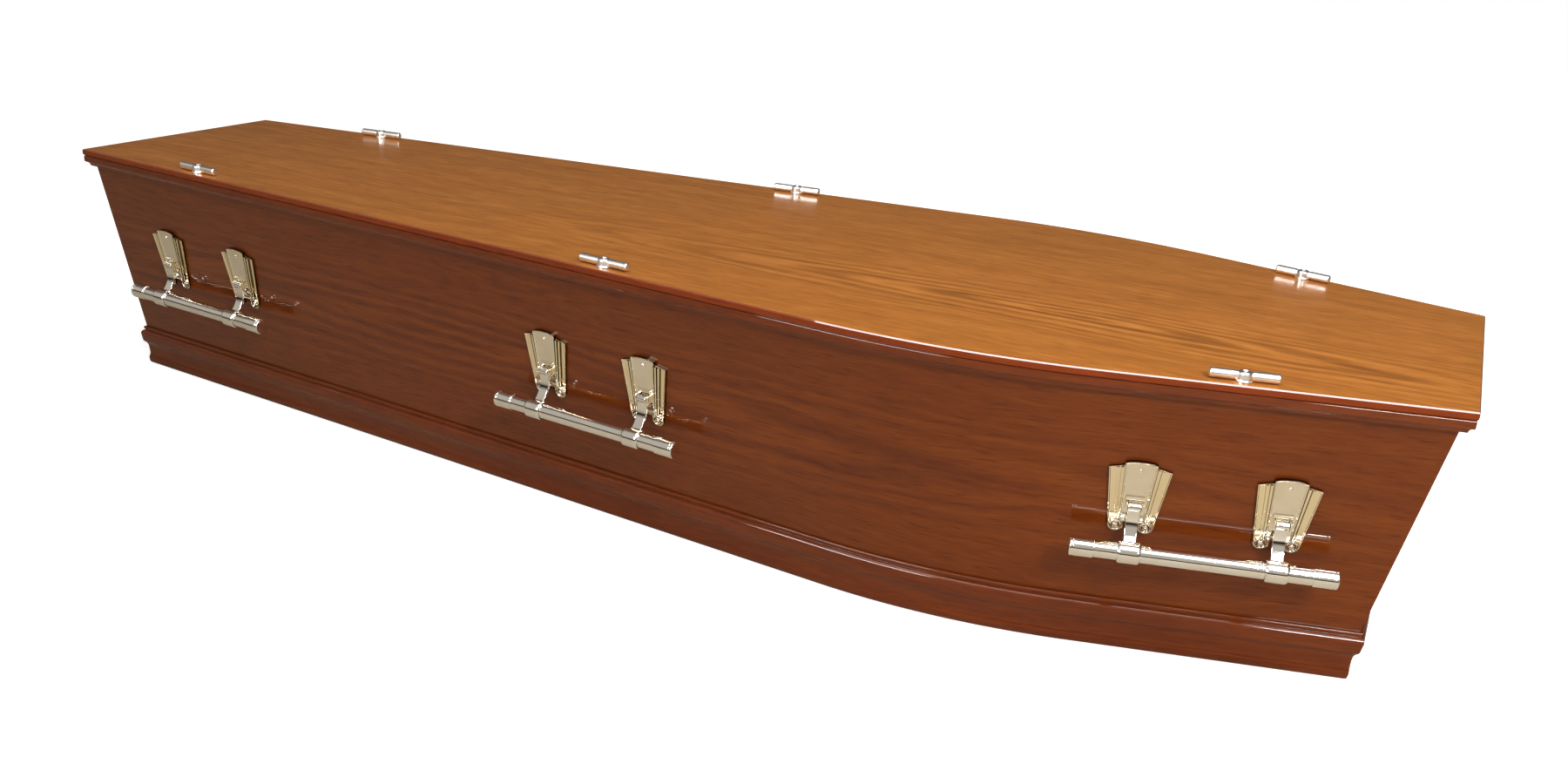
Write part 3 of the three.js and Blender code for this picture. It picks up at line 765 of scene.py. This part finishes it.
for hand in (-1, 1):
    boss_parts.append(with_painted_flank_shade(turned([
        (PLATE_GAP, 0), (PLATE_GAP, 0.0084), (0.0030, 0.0084, 0.0005), (0.0034, 0.0072, 0.0002),
        (0.0050, 0.0070, 0.0006), (0.0050, 0.0052, 0.0006), (0.0034, 0.0046, 0.0002),
        (0.0034, 0.0034, 0.0002), (0.0048, 0.0030, 0.0004), (0.0054, 0.0014, 0.0005), (0.0055, 0),
    ], axis_turn=STAND_UP, move=(hand * BOSS_FROM_MIDDLE, BOSS_UP, 0), steps=32)))
lug_parts = []
for hand in (-1, 1):
    left = hand * LUG_FROM_MIDDLE - LUG_HALF
    right = hand * LUG_FROM_MIDDLE + LUG_HALF
    lug = [(left, LUG_BOTTOM), (right, LUG_BOTTOM), (right, LUG_TOP), (left, LUG_TOP)]
    lug_parts.append(plate_slab(lug, thickness=0.0138, rim=0, sunk=0, rounding=0.0008))
block = [
    (-BLOCK_HALF, BLOCK_BOTTOM), (BLOCK_HALF, BLOCK_BOTTOM),
    (BLOCK_HALF, BLOCK_TOP), (-BLOCK_HALF, BLOCK_TOP),
]
block_part = plate_slab(block, thickness=0.0072, rim=0, sunk=0, rounding=0.0007)
plate_shape = gathered([*wing_parts, *rib_parts, panel_part, pin_part, *boss_parts, *lug_parts, block_part])


def handle_frame(joint):
    """The wall's own frame at a handle, from where its hinge stands."""
    along = -Vector(joint["axis"])
    outward = along.cross(UP)
    rise = UP * math.cos(WALL_LEAN) + outward * math.sin(WALL_LEAN)
    out = outward * math.cos(WALL_LEAN) - UP * math.sin(WALL_LEAN)
    origin = Vector(joint["pos_m"]) - out * PIVOT_OUT - rise * PIVOT_UP
    return Matrix.Translation(origin) @ Matrix((along, rise, out)).transposed().to_4x4()


HANDLE_FRAMES = {joint["child"]: handle_frame(joint) for joint in frame["joints"]}


def arm_offset(handle, end_name):
    """Where an arm stands along the bar: the head end is to the right on the near side."""
    hand = ENDS[end_name] * (1 if "near" in handle else -1)
    return Matrix.Translation((hand * ARM_SPACING / 2, 0, 0))


for handle, wall_frame in HANDLE_FRAMES.items():
    for end_name in ENDS:
        plate = placed(
            plate_shape, wall_frame @ arm_offset(handle, end_name), f"{handle}_back_plate_{end_name}",
            PLATE_FINISHES)
        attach(plate, "coffin")
        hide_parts(f"{handle}_plate_{end_name}")


# Handle arms. A flat plated strap hangs from a round knuckle between the plate's lugs, bends out
# from the wall, and ends in a collar through which the bar runs.

ARM_WIDTH = 0.014
ARM_THICKNESS = 0.0036
ARM_TOP = Vector((0, PIVOT_UP, 0.0114))
ARM_BEND_START = Vector((0, 0.0319, 0.0112))
ARM_BEND_RADIUS = 0.0361
ARM_BEND_TURN = math.radians(71.3)
GRIP_OUT = 0.035
GRIP_UP = -0.0085
COLLAR_BORE = 0.01035
COLLAR_HALF = 0.0125
COLLAR_LIP = 0.0116
COLLAR_MIDDLE = 0.0128
KNUCKLE_RADIUS = 0.0045
STRAP_ROUNDING = 0.0008

arm_strap = bmesh.new()
strap_down = (ARM_BEND_START - ARM_TOP).normalized()
strap_front = Vector(X_AXIS).cross(-strap_down)
strap_corners = [
    arm_strap.verts.new(ARM_TOP + Vector((x * ARM_WIDTH / 2, 0, 0)) + strap_front * (z * ARM_THICKNESS / 2))
    for x, z in ((-1, -1), (1, -1), (1, 1), (-1, 1))]
arm_strap.faces.new(strap_corners)
round_corners(arm_strap, strap_corners, STRAP_ROUNDING, 3)
arm_strap.faces.ensure_lookup_table()
strap_end = extruded(arm_strap, arm_strap.faces[0], ARM_BEND_START - ARM_TOP)
bend_centre = ARM_BEND_START + strap_front * ARM_BEND_RADIUS
swept_round(arm_strap, [strap_end], bend_centre, (-1, 0, 0), ARM_BEND_TURN, 18)
inside_collar = Vector((0, GRIP_UP + COLLAR_BORE * 0.62, GRIP_OUT - 0.003))
cut_off(arm_strap, inside_collar, Vector((0, -1, 0.2)))

knuckle = turned([
    (-ARM_WIDTH / 2, 0), (-ARM_WIDTH / 2, KNUCKLE_RADIUS, 0.0008),
    (ARM_WIDTH / 2, KNUCKLE_RADIUS, 0.0008), (ARM_WIDTH / 2, 0),
], move=(0, PIVOT_UP, PIVOT_OUT), steps=28)
collar = turned([
    (-COLLAR_HALF, COLLAR_BORE), (-COLLAR_HALF, COLLAR_LIP, 0.0008),
    (-COLLAR_HALF + 0.0025, COLLAR_MIDDLE, 0.0012), (COLLAR_HALF - 0.0025, COLLAR_MIDDLE, 0.0012),
    (COLLAR_HALF, COLLAR_LIP, 0.0008), (COLLAR_HALF, COLLAR_BORE), (-COLLAR_HALF, COLLAR_BORE),
], move=(0, GRIP_UP, GRIP_OUT), steps=56)
arm_shape = gathered([arm_strap, knuckle, collar])

for handle, wall_frame in HANDLE_FRAMES.items():
    for end_name in ENDS:
        arm = placed(
            arm_shape, wall_frame @ arm_offset(handle, end_name), f"{handle}_swing_arm_{end_name}",
            [white_plate])
        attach(arm, handle)
        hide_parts(f"{handle}_arm_{end_name}")


# Handle bars. A round plated tube held in the two collars, with a slightly thicker cap driven onto
# each end and a fine seam where cap and tube meet.

GRIP_HALF = 0.144
GRIP_RADIUS = 0.010
CAP_LENGTH = 0.027
CAP_RADIUS = 0.0112
cap_line = [
    (GRIP_HALF - CAP_LENGTH - 0.0006, GRIP_RADIUS), (GRIP_HALF - CAP_LENGTH - 0.0004, GRIP_RADIUS - 0.0004),
    (GRIP_HALF - CAP_LENGTH, GRIP_RADIUS - 0.0003), (GRIP_HALF - CAP_LENGTH, CAP_RADIUS, 0.0006),
    (GRIP_HALF - 0.0050, CAP_RADIUS), (GRIP_HALF - 0.0044, CAP_RADIUS - 0.0004, 0.0003),
    (GRIP_HALF - 0.0038, CAP_RADIUS, 0.0003), (GRIP_HALF, CAP_RADIUS, 0.0018), (GRIP_HALF, 0),
]
grip_line = [(-along, *rest) for along, *rest in reversed(cap_line)] + cap_line
grip_shape = turned(grip_line, move=(0, GRIP_UP, GRIP_OUT), steps=64)

for handle, wall_frame in HANDLE_FRAMES.items():
    grip = placed(grip_shape, wall_frame, f"{handle}_grip", [white_plate])
    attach(grip, handle)
    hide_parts(f"{handle}_bar")


# Setting. A plain white floor and sky, both darker and warmer where the lacquer and the plating
# mirror them, with a dark band low in the mirrored sky. Soft lights stand overhead, along the near
# edge of the lid and at the head, and a low one shows only in what mirrors it.

FLOOR_TONE = (0.90, 0.90, 0.90, 1)
MIRRORED_FLOOR_TONE = (0.40, 0.345, 0.26, 1)
FLOOR_GLOW = 0.60
SKY_STRENGTH = 0.44
LOW_SKY_TONE = (0.05, 0.035, 0.02, 1)
HIGH_SKY_TONE = (1.05, 0.96, 0.82, 1)
BACK_SKY_TONE = (0.20, 0.165, 0.14, 1)
SEEN_SKY_TONE = (2.3, 2.3, 2.3, 1)

floor_mesh = bpy.data.meshes.new("floor")
floor_shape = bmesh.new()
bmesh.ops.create_grid(floor_shape, x_segments=1, y_segments=1, size=60)
bmesh.ops.translate(floor_shape, verts=floor_shape.verts[:], vec=(0, 0, -0.0005))
floor_shape.to_mesh(floor_mesh)
floor_shape.free()
floor = bpy.data.objects.new("floor", floor_mesh)
bpy.context.scene.collection.objects.link(floor)
floor_paint = bpy.data.materials.new("Floor")
floor_paint.use_nodes = True
floor_tree = floor_paint.node_tree
floor_shader = floor_tree.nodes["Principled BSDF"]
mirrored_ray = node(floor_tree, "ShaderNodeLightPath").outputs["Is Glossy Ray"]
floor_tone = blended(floor_tree, mirrored_ray, FLOOR_TONE, MIRRORED_FLOOR_TONE)
floor_tree.links.new(floor_tone, floor_shader.inputs["Base Color"])
floor_shader.inputs["Roughness"].default_value = 1.0
floor_shader.inputs["Emission Color"].default_value = (1, 1, 1, 1)
seen_ray = node(floor_tree, "ShaderNodeLightPath").outputs["Is Camera Ray"]
floor_glow = maths(floor_tree, "MULTIPLY", seen_ray, FLOOR_GLOW)
floor_tree.links.new(floor_glow, floor_shader.inputs["Emission Strength"])
floor_shader.inputs["Specular IOR Level"].default_value = 0.0
floor_mesh.materials.append(floor_paint)

world = bpy.data.worlds.new("Pale sky")
world.use_nodes = True
world_tree = world.node_tree
rays = node(world_tree, "ShaderNodeLightPath").outputs
heading = node(world_tree, "ShaderNodeTexCoord").outputs["Generated"]
heading_parts = node(world_tree, "ShaderNodeSeparateXYZ", {"Vector": heading}).outputs
upward = spread(world_tree, heading_parts["Z"], 0.08, 0.26)
front_sky = blended(world_tree, upward, LOW_SKY_TONE, HIGH_SKY_TONE)
backward = spread(world_tree, heading_parts["Y"], -0.25, 0.10)
mirrored_sky = blended(world_tree, backward, front_sky, BACK_SKY_TONE)
sky_tone = blended(world_tree, rays["Is Glossy Ray"], (1, 1, 1, 1), mirrored_sky)
sky_tone = blended(world_tree, rays["Is Camera Ray"], sky_tone, SEEN_SKY_TONE)
world_tree.links.new(sky_tone, world_tree.nodes["Background"].inputs["Color"])
world_tree.nodes["Background"].inputs["Strength"].default_value = SKY_STRENGTH
bpy.context.scene.world = world


def soft_light(name, at, towards, size, power, turn=0.0, only_mirrored=False):
    """A soft rectangular light, which the camera itself never sees."""
    light = bpy.data.lights.new(name, "AREA")
    light.shape = "RECTANGLE"
    light.size, light.size_y = size
    light.energy = power
    lamp = bpy.data.objects.new(name, light)
    aim = (Vector(towards) - Vector(at)).to_track_quat("-Z", "Y").to_matrix().to_4x4()
    lamp.matrix_world = Matrix.Translation(at) @ Matrix.Rotation(turn, 4, "Z") @ aim
    lamp.visible_camera = False
    lamp.visible_diffuse = not only_mirrored
    bpy.context.scene.collection.objects.link(lamp)


soft_light(
    "Overhead light", at=(1.2, -1.1, 2.7), towards=(1.2, -1.0, 0), size=(3.4, 2.6), power=33)
soft_light(
    "Edge light", at=(0.52, -0.84, 2.35), towards=(0.52, -0.42, 0.3), size=(2.8, 0.42), power=24,
    turn=math.radians(8))
soft_light(
    "Head light", at=(2.1, -1.9, 1.9), towards=(0.7, -0.1, 0.3), size=(0.5, 0.5), power=60)
soft_light(
    "Low light", at=(-0.7, -2.6, 1.5), towards=(0.2, -0.3, 0.1), size=(1.5, 0.9), power=90,
    only_mirrored=True)


# Camera. It stands where the photo's edges put it, with the focal length and the optical centre
# that fit them, so that a render lies over the photo.

PHOTO_WIDTH = 1800
PHOTO_HEIGHT = 900
SENSOR_WIDTH = 36
FOCAL_PIXELS = 1620.8
CENTRE_PIXEL = (904.3, 566.3)
CAMERA_AT = (0.9006, -1.7256, 0.8072)
CAMERA_TURN = Vector((1.9333, 0.4741, -0.2237))

camera_data = bpy.data.cameras.new("Camera")
camera = bpy.data.objects.new("Camera", camera_data)
bpy.context.scene.collection.objects.link(camera)
camera_data.sensor_width = SENSOR_WIDTH
camera_data.lens = SENSOR_WIDTH * FOCAL_PIXELS / PHOTO_WIDTH
camera_data.shift_x = -(CENTRE_PIXEL[0] - PHOTO_WIDTH / 2) / PHOTO_WIDTH
camera_data.shift_y = (CENTRE_PIXEL[1] - PHOTO_HEIGHT / 2) / PHOTO_WIDTH
seen = Matrix.Rotation(CAMERA_TURN.length, 3, CAMERA_TURN)
right, down, forward = seen.row[0], seen.row[1], seen.row[2]
camera.matrix_world = (
    Matrix.Translation(CAMERA_AT)
    @ Matrix((right, -down, -forward)).transposed().to_4x4())
bpy.context.scene.camera = camera
bpy.context.scene.view_settings.view_transform = "Standard"
